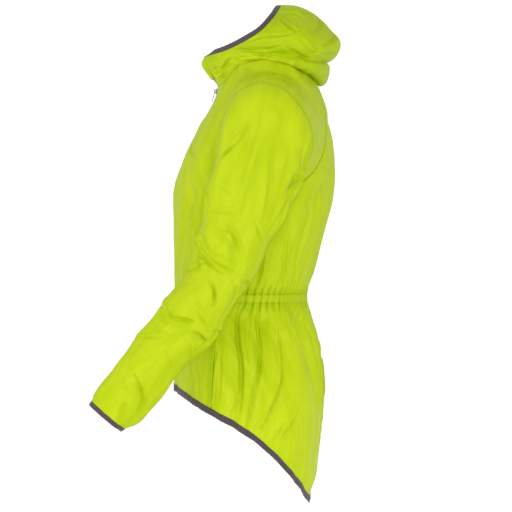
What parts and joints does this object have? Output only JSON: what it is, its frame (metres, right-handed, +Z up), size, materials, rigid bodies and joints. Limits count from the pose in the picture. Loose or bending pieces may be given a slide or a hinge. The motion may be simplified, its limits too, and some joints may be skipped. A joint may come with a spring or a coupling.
{
  "type": "raincoat",
  "caption": "Light hooded raincoat, filled out as if worn: set-in sleeves bent forward, shoulder pieces, full front zip, hood bunched down, gathered elastic at the back waist, long dropped tail.",
  "frame": {"origin": "middle of the shoulders at the base of the neck, inside the neckline, where the wearer holds the garment up", "axes": "+Z up, -Y towards the front of the garment, +X towards the wearer's left"},
  "size_m": [0.589, 0.4264, 0.8675],
  "materials": {
    "nylon": "thin plain-weave nylon, slightly translucent, soft sheen",
    "binding": "folded elastic tape, dull, fine ribs",
    "elastic": "flat woven elastic",
    "zip_tape": "woven tape",
    "zip_teeth": "fine coil",
    "zip_metal": "dark satin paint"
  },
  "bodies": {
    "garment": {"front_left": "nylon", "front_right": "nylon", "back": "nylon", "shoulder_left": "nylon", "shoulder_right": "nylon", "sleeve_upper_left": "nylon", "sleeve_lower_left": "nylon", "sleeve_upper_right": "nylon", "sleeve_lower_right": "nylon", "hood_left": "nylon", "hood_right": "nylon", "chin_guard": "nylon", "hem_binding_left": "binding", "hem_binding_right": "binding", "hem_binding_back": "binding", "cuff_binding_left": "binding", "cuff_binding_right": "binding", "hood_binding_left": "binding", "hood_binding_right": "binding", "waist_elastic": "elastic", "zip_tape_left": "zip_tape", "zip_tape_right": "zip_tape", "zip_chain": "zip_teeth", "zip_slider": "zip_metal"},
    "zip_pull": {"zip_pull": "zip_metal"}
  },
  "joints": [
    {"name": "pull_hinge", "type": "hinge", "parent": "garment", "child": "zip_pull", "pos_m": [0, -0.0815, -0.00468], "axis": [-1, 0, 0], "range_deg": [0, 125]}
  ]
}
